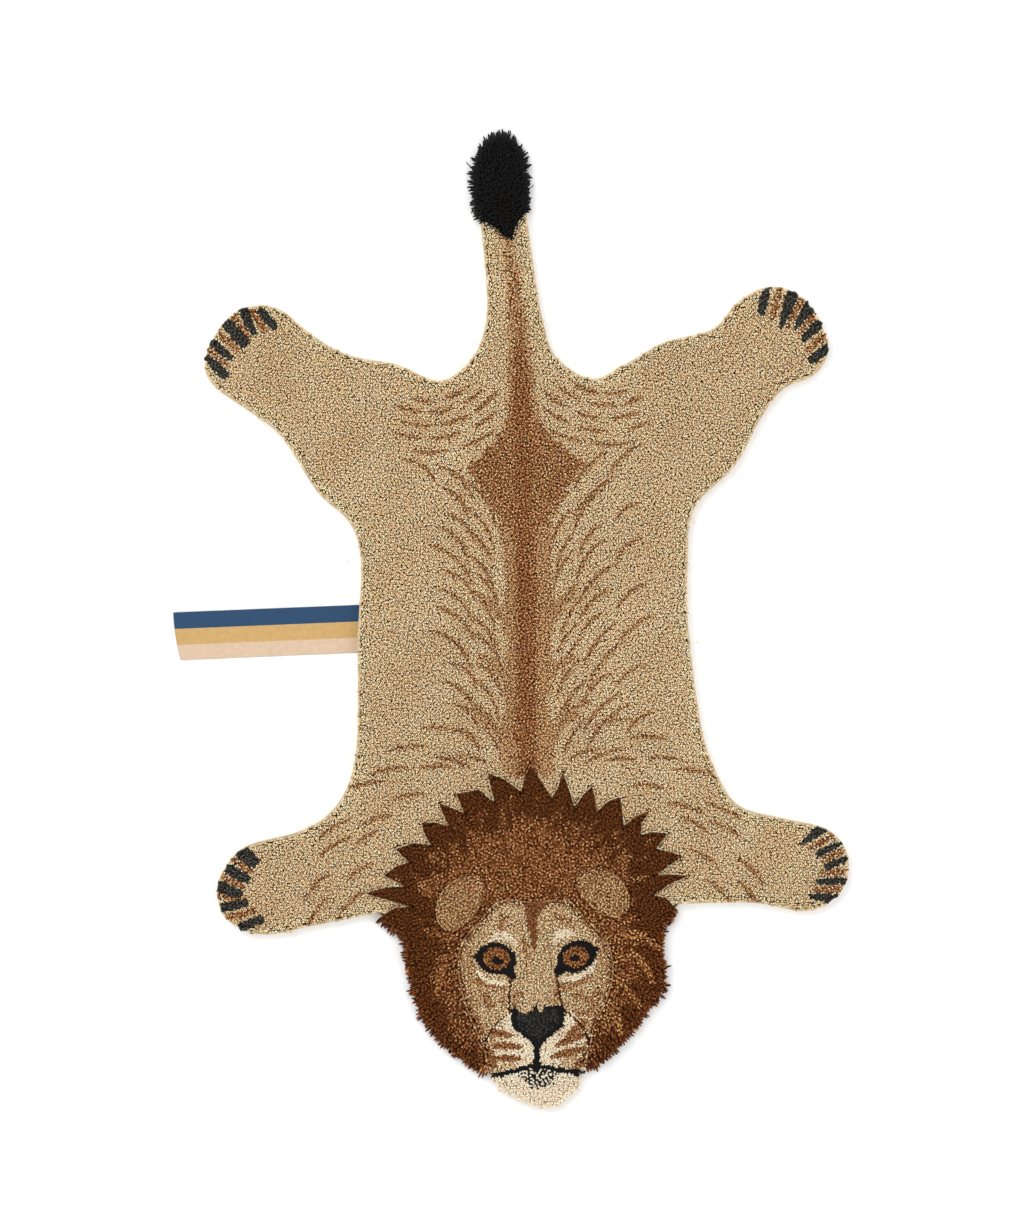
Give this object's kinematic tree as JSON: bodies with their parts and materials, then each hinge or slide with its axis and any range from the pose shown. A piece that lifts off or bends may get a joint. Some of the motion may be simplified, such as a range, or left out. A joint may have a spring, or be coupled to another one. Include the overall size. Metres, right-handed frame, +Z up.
{
  "type": "lion shaped kids rug",
  "caption": "Flat tufted wool pile rug in the outline of a lion's hide, with a shag mane round a beige face, fawn ears, a black shag tail brush and a banded side ribbon.",
  "frame": {"origin": "on the flat underside, on the spine midway between the fore and the hind legs", "axes": "+Z up out of the pile, +Y along the spine to the tail, -Y to the head, +X to the right seen from above with the tail up"},
  "size_m": [0.625, 0.9182, 0.0189],
  "materials": {
    "base_cloth": "pale cotton base cloth, plain canvas weave, latex backed",
    "body_pile": "heathered tan wool, cut pile, with darker brown fur marks down the spine",
    "mane": "dark brown wool shag over mottled mid-brown pile, shaggy rim",
    "face_pile": "beige wool cut pile, cream at the muzzle and chin, charcoal nose, mouth and eyes",
    "ears": "fawn wool cut pile",
    "tail_brush": "black wool shag",
    "side_ribbon": "woven ribbon in three plain bands, soft sheen"
  },
  "bodies": {
    "root": {"base_cloth": "base_cloth", "body_pile": "body_pile", "mane": "mane", "face_pile": "face_pile", "ear_left": "ears", "ear_right": "ears", "tail_brush": "tail_brush", "side_ribbon": "side_ribbon"}
  },
  "joints": []
}
